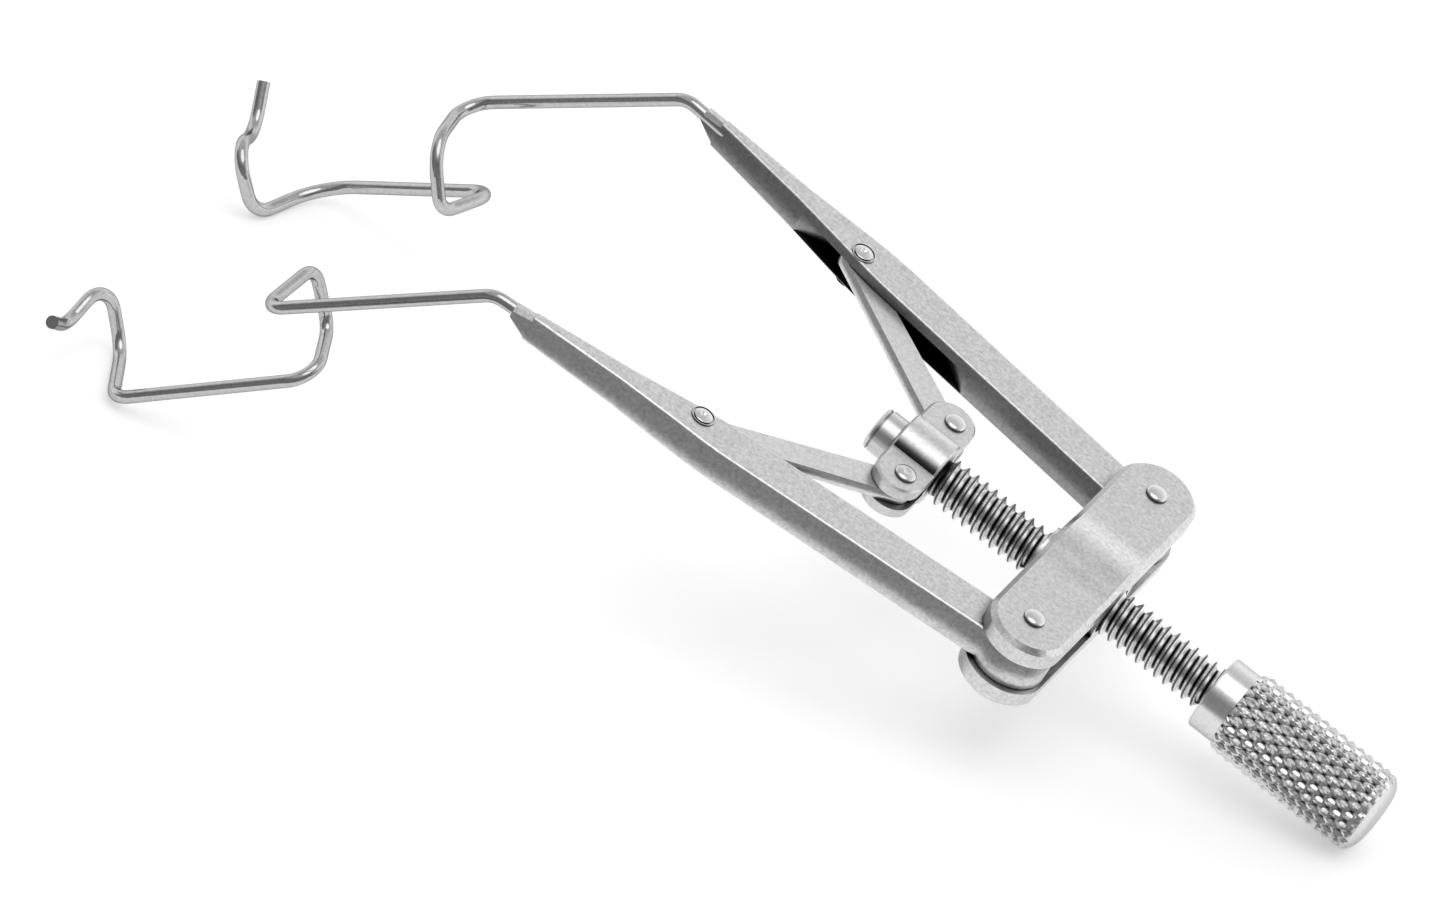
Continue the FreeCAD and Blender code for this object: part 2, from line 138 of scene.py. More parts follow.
THREAD_PITCH = 0.794
THREAD_DEPTH = 0.43
THREAD_CREST = 0.1
THREAD_ROOT = 0.1
THREAD_STEPS = 48
THREAD_CLEAR = 0.74
THREADED_SHARE = 0.9
THREAD_RUN_IN = 0.6 * THREAD_PITCH
THREAD_RUN_OUT = 0.2 * THREAD_PITCH
SCREW_RADIUS = 1.75
CORE_RADIUS = SCREW_RADIUS - THREAD_DEPTH
NECK_RADIUS = 1.2
COLLAR_RADIUS = 2.8
COLLAR_LENGTH = 2.1
COLLAR_EDGE = 0.16
COLLAR_EDGE_DEGREES = (60, 30, 0)
GRIP_RADIUS = 3.25
GRIP_CHAMFER = 0.3
GRIP_STEP = 0.02
KNURL_ROUND = 21
KNURL_PITCH = 1.53
KNURL_DEPTH = 0.42
KNURL_STEPS = 6
KNURL_DEEP = 0.97
KNURL_CLEAR = 0.66
KNURL_PYRAMID = 0.28
KNURL_STOP = 0.25
KNOB_DOME = 1.3
KNOB_DOME_RINGS = 8
KNOB_FLAT_RADIUS = 1.6
KNOB_CENTRE_RADIUS = KNOB_FLAT_RADIUS / 2
BORE_GAP = 0.01

# Heads and cap, in millimetres, with shares of the head's own height, radius or dimple

HEAD_UNDER = 0.98
HEAD_RIM = 0.18
HEAD_ROUNDNESS = 0.85
HEAD_STEPS = 9
DIMPLE_EDGE = 0.03
DIMPLE_SHARES = ((0.6, 0.62), (1.0, 0.25), (1.0, 0.0))
PIN_BUTTON_INSET = 0.2
PIN_GROOVE_FLOOR = 0.012
CAP_CROWN = 0.34
CAP_CROWN_REACH = 0.5
CAP_CROWN_STEPS = 6
CAP_GROOVE = 0.14
CAP_EDGE = 0.02

SCREW_SEGMENTS = 48
PIN_SEGMENTS = 40
CAP_SEGMENTS = 56

# Degrees between two faces above which their edge stays crisp

SCREW_CRISP = 38
KNOB_CRISP = 8
PIN_CRISP = 40
CAP_CRISP = 50


# Instrument frame: X along the screw to the knob, Y to the right arm, Z up from the arms, in millimetres


def joint(name):
    return next(entry for entry in frame["joints"] if entry["name"] == name)


spin = joint("screw_spin")
AXIS = -Vector(spin["axis"]).normalized()
SIDE = Vector((0, 1, 0))
UP = AXIS.cross(SIDE).normalized()
ORIGIN = Vector(spin["pos_m"])
TURN = Matrix((AXIS, SIDE, UP)).transposed()
PLACE = Matrix.Translation(ORIGIN) @ TURN.to_4x4() @ Matrix.Scale(MM, 4)
UNPLACE = PLACE.inverted()
ALONG_SCREW = Vector((1, 0, 0))
ACROSS_SCREW = Vector((0, 1, 0))
UPWARD = Vector((0, 0, 1))


def node_points(node):
    return [UNPLACE @ vertex.co for vertex in frame["nodes"][node].data.vertices]


def span(node, axis):
    values = [point[axis] for point in node_points(node)]
    return min(values), max(values)


def middle(node, axis):
    low, high = span(node, axis)
    return (low + high) / 2


# Shader nodes


def add(nodes, kind, **values):
    node = nodes.new(kind)
    for key, value in values.items():
        setattr(node, key, value)
    return node


def math_node(tree, operation, first, second=None):
    node = add(tree.nodes, "ShaderNodeMath", operation=operation)
    for socket, value in zip(node.inputs, (first, second)):
        if value is None:
            continue
        if isinstance(value, (int, float)):
            socket.default_value = value
        else:
            tree.links.new(value, socket)
    return node.outputs[0]


def multiply(tree, first, second):
    return math_node(tree, "MULTIPLY", first, second)


def vector_node(tree, operation, first, second=None, scale=None):
    node = add(tree.nodes, "ShaderNodeVectorMath", operation=operation)
    for socket, value in zip(node.inputs, (first, second)):
        if value is None:
            continue
        if isinstance(value, Vector):
            socket.default_value = value
        else:
            tree.links.new(value, socket)
    if scale is not None:
        if isinstance(scale, (int, float)):
            node.inputs["Scale"].default_value = scale
        else:
            tree.links.new(scale, node.inputs["Scale"])
    return node.outputs["Value" if operation == "DOT_PRODUCT" else "Vector"]


def dot(tree, first, second):
    return vector_node(tree, "DOT_PRODUCT", first, second)


def ramp(tree, value, low, high, out_low, out_high):
    """A smooth step from out_low to out_high while the value goes from low to high."""
    node = add(tree.nodes, "ShaderNodeMapRange", interpolation_type="SMOOTHSTEP")
    tree.links.new(value, node.inputs["Value"])
    node.inputs["From Min"].default_value = low
    node.inputs["From Max"].default_value = high
    node.inputs["To Min"].default_value = out_low
    node.inputs["To Max"].default_value = out_high
    return node.outputs["Result"]


def noise(tree, vector, scale, detail, roughness):
    node = add(tree.nodes, "ShaderNodeTexNoise")
    node.inputs["Scale"].default_value = scale
    node.inputs["Detail"].default_value = detail
    node.inputs["Roughness"].default_value = roughness
    tree.links.new(vector, node.inputs["Vector"])
    return node.outputs["Fac"]


# Painted shade and a painted dark reflection: shares of the tone that a steel keeps in its dark places


def painted_cavity_shade(tree, reach, darkest, shut, wide):
    """Painted shade: dark where surfaces within reach shut a place in, from the share shut to the share wide."""
    shut_in = add(tree.nodes, "ShaderNodeAmbientOcclusion", samples=CAVITY_SAMPLES)
    shut_in.inputs["Distance"].default_value = reach * MM
    return ramp(tree, shut_in.outputs["AO"], shut, wide, darkest, 1.0)


def radius_node(tree, from_origin):
    along = dot(tree, from_origin, AXIS)
    outward = vector_node(tree, "SUBTRACT", from_origin, vector_node(tree, "SCALE", AXIS, scale=along))
    return math_node(tree, "SQRT", dot(tree, outward, outward))


def painted_pit_shade(tree, from_origin, deep, clear, start, end):
    """Painted shade: dark below the radius clear and darkest at the radius deep, from start to end along the
    screw.
    """
    along = dot(tree, from_origin, AXIS)
    started = ramp(tree, along, (start - PIT_START_FADE) * MM, start * MM, 0.0, 1.0)
    going_on = ramp(tree, along, end * MM, (end + PIT_END_FADE) * MM, 1.0, 0.0)
    depth_loss = ramp(tree, radius_node(tree, from_origin), deep * MM, clear * MM, PIT_LOSS, 0.0)
    loss = multiply(tree, depth_loss, multiply(tree, started, going_on))
    return math_node(tree, "SUBTRACT", 1.0, loss)


def painted_crest_reflection(tree, from_origin, crest):
    """Painted dark reflection on the crests of a thread, from just below the radius crest."""
    low, high = ((crest - inset) * MM for inset in CREST_BAND)
    return ramp(tree, radius_node(tree, from_origin), low, high, 1.0, CREST_SHARE)


def painted_steep_shade(tree, surface, low, high):
    """Painted shade where a rivet head falls off steeply."""
    upright = math_node(tree, "ABSOLUTE", dot(tree, surface, UP))
    return ramp(tree, upright, low, high, STEEP_SHARE, 1.0)


def painted_flank_shade(tree, surface, from_origin, reach):
    """Painted shade on flanks that look sideways and stand nearer than reach to the screw."""
    across = math_node(tree, "ABSOLUTE", dot(tree, surface, SIDE))
    aside = math_node(tree, "ABSOLUTE", dot(tree, from_origin, SIDE))
    near = ramp(tree, aside, (reach - FLANK_FADE) * MM, reach * MM, 1.0, 0.0)
    loss = multiply(tree, ramp(tree, across, *FLANK_SLOPES, 0.0, FLANK_LOSS), near)
    return math_node(tree, "SUBTRACT", 1.0, loss)


def painted_inner_shade(tree, surface, from_origin, share):
    """Painted shade: dimmer on faces that look towards the middle of the instrument."""
    side = math_node(tree, "SIGN", dot(tree, from_origin, SIDE))
    outward = multiply(tree, dot(tree, surface, SIDE), side)
    return ramp(tree, outward, *INNER_SLOPES, share, 1.0)


def painted_front_shade(tree, surface, share):
    """Painted shade: dimmer on faces that look towards the blades."""
    return ramp(tree, dot(tree, surface, AXIS), *FRONT_SLOPES, share, 1.0)


# Grain, gloss and relief of a steel


def dull_share(tree, from_origin, flat, dull_from):
    """Full on tops and sides and beyond dull_from towards the blades, nothing on the polished edges."""
    on_top = ramp(tree, flat, *TOP_SLOPES, 0.0, 1.0)
    on_side = ramp(tree, flat, *SIDE_SLOPES, 0.0, 1.0)
    dull = math_node(tree, "MAXIMUM", on_top, on_side)
    if dull_from is None:
        return dull
    along = dot(tree, from_origin, AXIS)
    beyond = ramp(tree, along, dull_from * MM, (dull_from - DULL_FADE) * MM, 0.0, 1.0)
    return math_node(tree, "MAXIMUM", dull, beyond)


def crowned_normal(tree, surface, from_origin, flat, slant, half_height):
    """Leans the normal of upright sides, so that they catch light as a softly rounded side does."""
    height = math_node(tree, "DIVIDE", dot(tree, from_origin, UP), half_height * MM)
    rise = ramp(tree, height, *CROWN_RISE, 0.0, slant)
    fall = ramp(tree, height, *CROWN_FALL, 0.0, slant * CROWN_FALL_SHARE)
    sideways = ramp(tree, flat, *CROWN_SLOPES, 0.0, 1.0)
    amount = multiply(tree, math_node(tree, "SUBTRACT", rise, fall), sideways)
    push = vector_node(tree, "SCALE", UP, scale=amount)
    return vector_node(tree, "NORMALIZE", vector_node(tree, "ADD", surface, push))


def lathe_grain(tree, from_origin, lines_per_mm):
    """Turning lines: a grain that changes only along the screw."""
    lines = add(tree.nodes, "ShaderNodeTexNoise", noise_dimensions="1D")
    lines.inputs["Scale"].default_value = lines_per_mm / MM
    lines.inputs["Detail"].default_value = GRAIN_DETAIL
    tree.links.new(dot(tree, from_origin, AXIS), lines.inputs["W"])
    return lines.outputs["Fac"]


def steel(
    name,
    tone,
    rough,
    mottle,
    bump,
    grain_size=0.2,
    lathe_lines=None,
    edge_rough=None,
    dull_from=None,
    crown=None,
    cavity=None,
    pit=None,
    crest=None,
    steep=None,
    flank=None,
    inner=None,
    front=None,
    graze=None,
):
    """Bare steel with a fine blasted or turned grain. A look that is None is left out.

    tone and rough are the colour and roughness, mottle and grain_size the grain's strength and size, and
    bump its relief, which lathe_lines turns into turning lines. edge_rough is the roughness of edges, as
    far as dull_from. crown leans the normals of sides, and graze is the colour at a glancing angle. The
    others paint shade, and on thread crests a dark reflection, into the colour, as the share functions above say.
    """
    material = bpy.data.materials.new(name)
    material.use_nodes = True
    tree = material.node_tree
    shader = tree.nodes["Principled BSDF"]
    shader.inputs["Metallic"].default_value = 1.0
    if graze:
        shader.inputs["Specular Tint"].default_value = (graze, graze, graze, 1)
    coords = add(tree.nodes, "ShaderNodeTexCoord").outputs["Object"]
    surface = add(tree.nodes, "ShaderNodeNewGeometry").outputs["Normal"]
    from_origin = vector_node(tree, "SUBTRACT", coords, ORIGIN)
    millimetres = vector_node(tree, "SCALE", coords, scale=1 / MM)
    fine = noise(tree, millimetres, 1 / grain_size, GRAIN_DETAIL, GRAIN_ROUGHNESS)
    cloudy = noise(tree, millimetres, CLOUD_SCALE, CLOUD_DETAIL, CLOUD_ROUGHNESS)
    cloud = math_node(tree, "SUBTRACT", cloudy, NOISE_MIDDLE)

    level = multiply(tree, math_node(tree, "SUBTRACT", fine, NOISE_MIDDLE), mottle * GRAIN_SWING)
    drift = multiply(tree, cloud, CLOUD_SHADE)
    shade = math_node(tree, "ADD", math_node(tree, "ADD", level, drift), 1.0)
    # Painted shade and painted dark reflection, each a share that multiplies the tone
    shares = []
    if cavity:
        shares.append(painted_cavity_shade(tree, **cavity))
    if pit:
        shares.append(painted_pit_shade(tree, from_origin, **pit))
    if crest:
        shares.append(painted_crest_reflection(tree, from_origin, crest))
    if steep:
        shares.append(painted_steep_shade(tree, surface, *steep))
    if flank:
        shares.append(painted_flank_shade(tree, surface, from_origin, flank))
    if inner:
        shares.append(painted_inner_shade(tree, surface, from_origin, inner))
    if front:
        shares.append(painted_front_shade(tree, surface, front))
    for share in shares + [tone]:
        shade = multiply(tree, shade, share)
    colour = add(tree.nodes, "ShaderNodeCombineColor")
    for socket, factor in zip(colour.inputs[:3], STEEL_TINT):
        tree.links.new(multiply(tree, shade, factor), socket)
    tree.links.new(colour.outputs[0], shader.inputs["Base Color"])

    relief = add(tree.nodes, "ShaderNodeBump")
    relief.inputs["Strength"].default_value = bump
    relief.inputs["Distance"].default_value = RELIEF_HEIGHT * MM
    flat = math_node(tree, "ABSOLUTE", dot(tree, surface, UP))
    gloss = math_node(tree, "ADD", multiply(tree, cloud, CLOUD_GLOSS), rough)
    if edge_rough is not None:
        dull = dull_share(tree, from_origin, flat, dull_from)
        gap = math_node(tree, "SUBTRACT", gloss, edge_rough)
        gloss = math_node(tree, "ADD", multiply(tree, dull, gap), edge_rough)
        tree.links.new(multiply(tree, dull, bump), relief.inputs["Strength"])
    tree.links.new(gloss, shader.inputs["Roughness"])

    height = lathe_grain(tree, from_origin, lathe_lines) if lathe_lines else fine
    normal = crowned_normal(tree, surface, from_origin, flat, **crown) if crown else surface
    tree.links.new(height, relief.inputs["Height"])
    tree.links.new(normal, relief.inputs["Normal"])
    tree.links.new(relief.outputs["Normal"], shader.inputs["Normal"])
    return material


# Finishes, one for each material slot of the record

knob_front, knob_rear = span("thumb_knob", 0)
screw_front, screw_rear = span("screw", 0)

# In these finishes cavity, pit, steep, flank, inner and front paint shade into the colour, and crest paints a dark
# reflection on the thread's crests
FINISHES = {
    "satin_plate": steel(
        "satin_plate",
        tone=0.66,
        rough=0.32,
        mottle=0.2,
        grain_size=0.28,
        bump=0.35,
        edge_rough=0.26,
        cavity={"reach": 2.2, "darkest": 0.03, "shut": 0.26, "wide": 0.78},
        front=0.45,
    ),
    "satin_arm": steel(
        "satin_arm",
        tone=0.66,
        rough=0.36,
        mottle=0.22,
        grain_size=0.28,
        bump=0.75,
        edge_rough=0.33,
        crown={"slant": 0.5, "half_height": 1.3},
        cavity={"reach": 3.2, "darkest": 0.01, "shut": 0.34, "wide": 0.8},
        dull_from=-38.0,
        inner=0.5,
    ),
    "satin_link": steel(
        "satin_link",
        tone=0.72,
        rough=0.32,
        mottle=0.15,
        grain_size=0.28,
        bump=0.4,
        edge_rough=0.18,
        crown={"slant": 0.55, "half_height": 0.5},
        cavity={"reach": 1.6, "darkest": 0.06, "shut": 0.2, "wide": 0.7},
    ),
    "polished_yoke": steel(
        "polished_yoke",
        tone=0.68,
        rough=0.38,
        mottle=0.15,
        grain_size=0.28,
        bump=0.25,
        edge_rough=0.36,
        cavity={"reach": 1.6, "darkest": 0.02, "shut": 0.2, "wide": 0.75},
        flank=middle("yoke_rivet_right", 1) - YOKE_FLANK_INSET,
        front=0.5,
    ),
    "rivet_steel": steel(
        "rivet_steel",
        tone=0.7,
        rough=0.24,
        mottle=0.06,
        bump=0.12,
        cavity={"reach": 0.5, "darkest": 0.05, "shut": 0.25, "wide": 0.75},
        steep=(0.2, 0.66),
    ),
    "polished_wire": steel(
        "polished_wire",
        tone=0.5,
        rough=0.15,
        mottle=0.12,
        grain_size=0.25,
        bump=0.12,
        graze=0.4,
    ),
    "turned_steel": steel(
        "turned_steel",
        tone=0.62,
        rough=0.3,
        mottle=0.06,
        bump=0.35,
        cavity={"reach": 0.5, "darkest": 0.0, "shut": 0.25, "wide": 0.8},
        lathe_lines=9,
    ),
    "thread_steel": steel(
        "thread_steel",
        tone=0.8,
        rough=0.26,
        mottle=0.1,
        bump=0.1,
        pit={
            "deep": CORE_RADIUS,
            "clear": SCREW_RADIUS - THREAD_CLEAR * THREAD_DEPTH,
            "start": screw_front,
            "end": screw_rear,
        },
        crest=SCREW_RADIUS,
    ),
    "knurled_steel": steel(
        "knurled_steel",
        tone=0.74,
        rough=0.25,
        mottle=0.1,
        bump=0.06,
        pit={
            "deep": GRIP_RADIUS - KNURL_DEEP * KNURL_DEPTH,
            "clear": GRIP_RADIUS - KNURL_CLEAR * KNURL_DEPTH,
            "start": knob_front + COLLAR_LENGTH,
            "end": knob_rear - KNOB_DOME,
        },
        graze=0.62,
        lathe_lines=5,
    ),
}

for entry in frame["record"]["subparts"]:
    shown = frame["nodes"][entry["node"]]
    finish = FINISHES[entry["material_slot"]]
    if not shown.material_slots:
        shown.data.materials.append(finish)
    for holder in shown.material_slots:
        holder.material = finish


# Meshes


def make_piece(name, points, faces, finish, body, node, crisp):
    """A piece from instrument points. Edges stay crisp where two faces meet at more than crisp degrees."""
    mesh = bpy.data.meshes.new(name)
    mesh.from_pydata([PLACE @ Vector(point) for point in points], [], faces)
    mesh.validate()
    mesh.update()
    piece = bpy.data.objects.new(name, mesh)
    bpy.context.scene.collection.objects.link(piece)
    piece.data.materials.append(FINISHES[finish])
    for polygon in mesh.polygons:
        polygon.use_smooth = True
    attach(piece, body)
    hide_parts(node)
    piece.data.set_sharp_from_angle(angle=math.radians(crisp))


def lathe(profile, centre, direction, sideways, segments):
    """Points and faces of a closed turned body. The profile is (along, radius) pairs from axis to axis."""
    other = direction.cross(sideways)
    points = []
    faces = []
    rings = []
    for along, radius in profile:
        if radius == 0:
            rings.append([len(points)])
            points.append(centre + direction * along)
            continue
        ring = []
        for segment in range(segments):
            turn = 2 * math.pi * segment / segments
            ring.append(len(points))
            outward = sideways * math.cos(turn) + other * math.sin(turn)
            points.append(centre + direction * along + outward * radius)
        rings.append(ring)
    for near, far in zip(rings, rings[1:]):
        for segment in range(segments):
            after = (segment + 1) % segments
            if len(near) == 1:
                faces.append((near[0], far[after], far[segment]))
            elif len(far) == 1:
                faces.append((near[segment], near[after], far[0]))
            else:
                faces.append((near[segment], near[after], far[after], far[segment]))
    return points, faces


def thread_mesh(start, end):
    """A right-hand thread from start to end along the screw, on a helical grid that follows its crest."""
    rise = (1 - THREAD_CREST - THREAD_ROOT) / 2
    profile = [
        (0.0, 0.0),
        (rise * 0.5, 0.47),
        (rise, 0.97),
        (rise + THREAD_CREST * 0.5, 1.0),
        (rise + THREAD_CREST, 0.97),
        (rise * 1.5 + THREAD_CREST, 0.47),
        (2 * rise + THREAD_CREST, 0.0),
        (2 * rise + THREAD_CREST + THREAD_ROOT * 0.5, 0.0),
    ]
    turns = math.ceil((end - start) / THREAD_PITCH) + 2
    steps = turns * THREAD_STEPS
    points = []
    for step in range(steps + 1):
        turn = 2 * math.pi * step / THREAD_STEPS
        for share, height in profile:
            along = start - THREAD_PITCH + THREAD_PITCH * (step / THREAD_STEPS + share)
            run_in = max(0.0, (along - start) / THREAD_RUN_IN)
            run_out = max(0.0, (end - along) / THREAD_RUN_OUT)
            radius = CORE_RADIUS + THREAD_DEPTH * height * min(1.0, run_in, run_out)
            inside = min(max(along, start), end)
            points.append((inside, radius * math.cos(turn), radius * math.sin(turn)))
    row = len(profile)
    turn_row = THREAD_STEPS * row
    faces = []
    for step in range(steps):
        for place in range(row):
            corner = step * row + place
            if place + 1 < row:
                faces.append((corner, corner + 1, corner + row + 1, corner + row))
            elif corner + 1 + turn_row < len(points):
                faces.append((corner, corner + 1 + turn_row - row, corner + 1 + turn_row, corner + row))
    return points, faces


def build_screw():
    least = SCREW_RADIUS * THREADED_SHARE
    shoulder = min(point.x for point in node_points("screw") if math.hypot(point.y, point.z) > least)
    points, faces = thread_mesh(shoulder, screw_rear)
    profile = [
        (screw_front, 0),
        (screw_front, NECK_RADIUS),
        (shoulder, NECK_RADIUS),
        (shoulder, CORE_RADIUS),
        (screw_rear, CORE_RADIUS),
        (screw_rear, 0),
    ]
    core, core_faces = lathe(profile, Vector((0, 0, 0)), ALONG_SCREW, ACROSS_SCREW, SCREW_SEGMENTS)
    base = len(points)
    points = points + core
    faces = faces + [tuple(base + index for index in face) for face in core_faces]
    make_piece("threaded_screw", points, faces, "thread_steel", "thumb_screw", "screw", SCREW_CRISP)


def build_knob():
    grip_start = knob_front + COLLAR_LENGTH
    grip_end = knob_rear - KNOB_DOME
    fall = GRIP_RADIUS - KNOB_FLAT_RADIUS
    spokes = KNURL_ROUND * KNURL_STEPS

    def envelope(along):
        """The largest radius that the chamfer and the dome leave."""
        limit = GRIP_RADIUS
        if along > grip_end:
            share = min(1.0, (along - grip_end) / KNOB_DOME)
            limit = GRIP_RADIUS - fall * (1 - math.sqrt(max(0.0, 1 - share * share)))
        if along < grip_start + GRIP_CHAMFER:
            limit = min(limit, GRIP_RADIUS - GRIP_CHAMFER + (along - grip_start))
        return limit

    def grooves(spoke, along):
        """Closeness to the grooves of either hand, 1 in the groove and 0 between two."""
        round_cells = spoke / KNURL_STEPS
        along_cells = (along - grip_start) / KNURL_PITCH
        first = abs(2 * ((round_cells + along_cells) % 1) - 1)
        second = abs(2 * ((round_cells - along_cells) % 1) - 1)
        return first, second

    def knurl_radius(spoke, along):
        first, second = grooves(spoke, along)
        pyramid = KNURL_PYRAMID * min(1 - first, 1 - second)
        rounded = (1 - KNURL_PYRAMID) * (1 - (first + second) / 2)
        return min(envelope(along), GRIP_RADIUS - KNURL_DEPTH + KNURL_DEPTH * (pyramid + rounded))

    points = []
    faces = []
    rings = []

    def ring(along, radii):
        found = []
        for spoke, radius in enumerate(radii):
            turn = 2 * math.pi * spoke / spokes
            found.append(len(points))
            points.append((along, radius * math.cos(turn), radius * math.sin(turn)))
        rings.append(found)

    def round_ring(along, radius):
        ring(along, [radius] * spokes)

    round_ring(knob_front, SCREW_RADIUS + BORE_GAP)
    round_ring(knob_front, COLLAR_RADIUS - COLLAR_EDGE)
    for degrees in COLLAR_EDGE_DEGREES:
        angle = math.radians(degrees)
        along = knob_front + COLLAR_EDGE - COLLAR_EDGE * math.sin(angle)
        round_ring(along, COLLAR_RADIUS - COLLAR_EDGE + COLLAR_EDGE * math.cos(angle))
    round_ring(grip_start - GRIP_STEP, COLLAR_RADIUS)
    round_ring(grip_start, COLLAR_RADIUS)
    knurl_rings = int((knob_rear - KNURL_STOP - grip_start) / KNURL_PITCH * KNURL_STEPS)
    for step in range(knurl_rings):
        along = grip_start + KNURL_PITCH * step / KNURL_STEPS
        ring(along, [knurl_radius(spoke, along) for spoke in range(spokes)])
    knurl_end = grip_start + KNURL_PITCH * (knurl_rings - 1) / KNURL_STEPS
    begin = math.asin(min(1.0, max(0.0, (knurl_end - grip_end) / KNOB_DOME)))
    for step in range(1, KNOB_DOME_RINGS + 1):
        angle = begin + (math.pi / 2 - begin) * step / KNOB_DOME_RINGS
        round_ring(grip_end + KNOB_DOME * math.sin(angle), GRIP_RADIUS - fall * (1 - math.cos(angle)))
    round_ring(knob_rear, KNOB_CENTRE_RADIUS)

    # Squares between these rings are cut along the nearer groove, and the others stay whole
    cut_rings = range(5, knurl_rings + 4)
    for number, (near, far) in enumerate(zip(rings, rings[1:])):
        along = (points[near[0]][0] + points[far[0]][0]) / 2
        for spoke in range(spokes):
            after = (spoke + 1) % spokes
            if number not in cut_rings:
                faces.append((near[spoke], near[after], far[after], far[spoke]))
                continue
            first, second = grooves(spoke + 0.5, along)
            if first > second:
                faces.append((near[spoke], near[after], far[spoke]))
                faces.append((near[after], far[after], far[spoke]))
            else:
                faces.append((near[spoke], near[after], far[after]))
                faces.append((near[spoke], far[after], far[spoke]))
    last = len(points)
    points.append((knob_rear, 0, 0))
    for spoke in range(spokes):
        faces.append((rings[-1][spoke], rings[-1][(spoke + 1) % spokes], last))
    make_piece("knurled_knob", points, faces, "knurled_steel", "thumb_screw", "thumb_knob", KNOB_CRISP)


def head_profile(half, shank, radius, height, dimple=0.0, dimple_radius=0.0):
    """Upper half of a headed pin: up the shank, out under the head, over its crown and into any dimple."""
    profile = [(half, shank), (half, radius * HEAD_UNDER), (half + height * HEAD_RIM, radius)]
    for step in range(1, HEAD_STEPS):
        angle = math.radians(90 * step / HEAD_STEPS)
        crown_radius = radius * math.cos(angle)
        rise = half + height * (HEAD_RIM + (1 - HEAD_RIM) * math.sin(angle) ** HEAD_ROUNDNESS)
        if dimple and crown_radius < dimple_radius:
            continue
        profile.append((rise, crown_radius))
    top = half + height
    if not dimple:
        return profile + [(top, 0)]
    profile.append((top - height * DIMPLE_EDGE, dimple_radius))
    for depth_share, radius_share in DIMPLE_SHARES:
        profile.append((top - dimple * depth_share, dimple_radius * radius_share))
    return profile


def grooved_profile(half, shank, radius, height, dimple, dimple_radius):
    """Upper half of a flush pin: a low rim, a narrow groove inside it and a button with a centre mark."""
    top = half + height
    button = radius - PIN_BUTTON_INSET
    floor_height = half + PIN_GROOVE_FLOOR
    return [
        (half, shank),
        (half, radius),
        (top - 0.05, radius),
        (top - 0.04, radius - 0.05),
        (floor_height, radius - 0.06),
        (floor_height, button),
        (top - 0.03, button),
        (top + 0.01, button - 0.08),
        (top + 0.03, dimple_radius),
        (top - dimple * 0.6, dimple_radius * 0.6),
        (top - dimple, 0),
    ]


def build_pin(
    name,
    body,
    node,
    shank,
    head_height,
    head_share=1.0,
    dimple=0.0,
    dimple_radius=0.0,
    grooved=False,
):
    """A riveted pin with a plain lower head. head_share is the heads' radius as a share of the node's."""
    low, high = span(node, 2)
    front, rear = span(node, 0)
    radius = (rear - front) / 2 * head_share
    half = (high - low) / 2 - head_height
    centre = Vector((middle(node, 0), middle(node, 1), (low + high) / 2))
    shape = grooved_profile if grooved else head_profile
    upper = shape(half, shank, radius, head_height, dimple, dimple_radius)
    lower = [(-along, out) for along, out in head_profile(half, shank, radius, head_height)]
    points, faces = lathe(lower[::-1] + upper, centre, UPWARD, ALONG_SCREW, PIN_SEGMENTS)
    make_piece(name, points, faces, "rivet_steel", body, node, PIN_CRISP)


def build_cap():
    """The end cap: a plain drum, a groove behind its front shoulder and a low crown."""
    front, rear = span("screw_end_cap", 0)
    low, high = span("screw_end_cap", 1)
    radius = (high - low) / 2
    shoulder = front + CAP_CROWN
    profile = [
        (rear, NECK_RADIUS),
        (rear, radius - 0.08),
        (rear - 0.06, radius),
        (shoulder + 0.16, radius),
        (shoulder + 0.14, radius - CAP_GROOVE),
        (shoulder + 0.01, radius - CAP_GROOVE),
        (shoulder, radius - CAP_EDGE),
    ]
    for step in range(1, CAP_CROWN_STEPS + 1):
        angle = math.radians(90 * step / CAP_CROWN_STEPS)
        inward = CAP_EDGE + CAP_CROWN_REACH * (1 - math.cos(angle))
        profile.append((shoulder - CAP_CROWN * math.sin(angle), radius - inward))
    profile.append((front, 0))
    points, faces = lathe(profile, Vector((0, 0, 0)), ALONG_SCREW, ACROSS_SCREW, CAP_SEGMENTS)
    faces = [tuple(reversed(face)) for face in faces]
    make_piece("screw_cap", points, faces, "turned_steel", "thumb_screw", "screw_end_cap", CAP_CRISP)


build_screw()
build_knob()
build_cap()
for side in ("right", "left"):
    build_pin(
        "bridge_rivet_head_" + side,
        "frame",
        "bridge_rivet_" + side,
        shank=0.75,
        head_height=0.38,
        head_share=0.79,
    )
    build_pin(
        "yoke_rivet_head_" + side,
        "yoke",
        "yoke_rivet_" + side,
        shank=0.5,
        head_height=0.35,
        dimple=0.08 if side == "left" else 0.0,
        dimple_radius=0.3,
    )
    build_pin(
        "link_pin_head_" + side,
        side + "_arm",
        "link_pin_" + side,
        shank=0.5,
        head_height=0.14,
        head_share=1.06,
        dimple=0.12,
        dimple_radius=0.3,
        grooved=True,
    )


# Stage: a pale floor, soft light and a dim card that only the metal reflects


def plane(name, size, centre):
    half = size / 2
    corners = [(-half, -half), (half, -half), (half, half), (-half, half)]
    mesh = bpy.data.meshes.new(name)
    mesh.from_pydata([Vector((x, y, 0)) + centre for x, y in corners], [], [(0, 1, 2, 3)])
    thing = bpy.data.objects.new(name, mesh)
    bpy.context.scene.collection.objects.link(thing)
    return thing


def lamp(name, position, target, size, power):
    data = bpy.data.lights.new(name, "AREA")
    data.shape = "DISK"
    data.size = size
    data.energy = power
    light = bpy.data.objects.new(name, data)
    bpy.context.scene.collection.objects.link(light)
    light.location = position
    light.rotation_mode = "QUATERNION"
    light.rotation_quaternion = (target - position).to_track_quat("-Z", "Y")


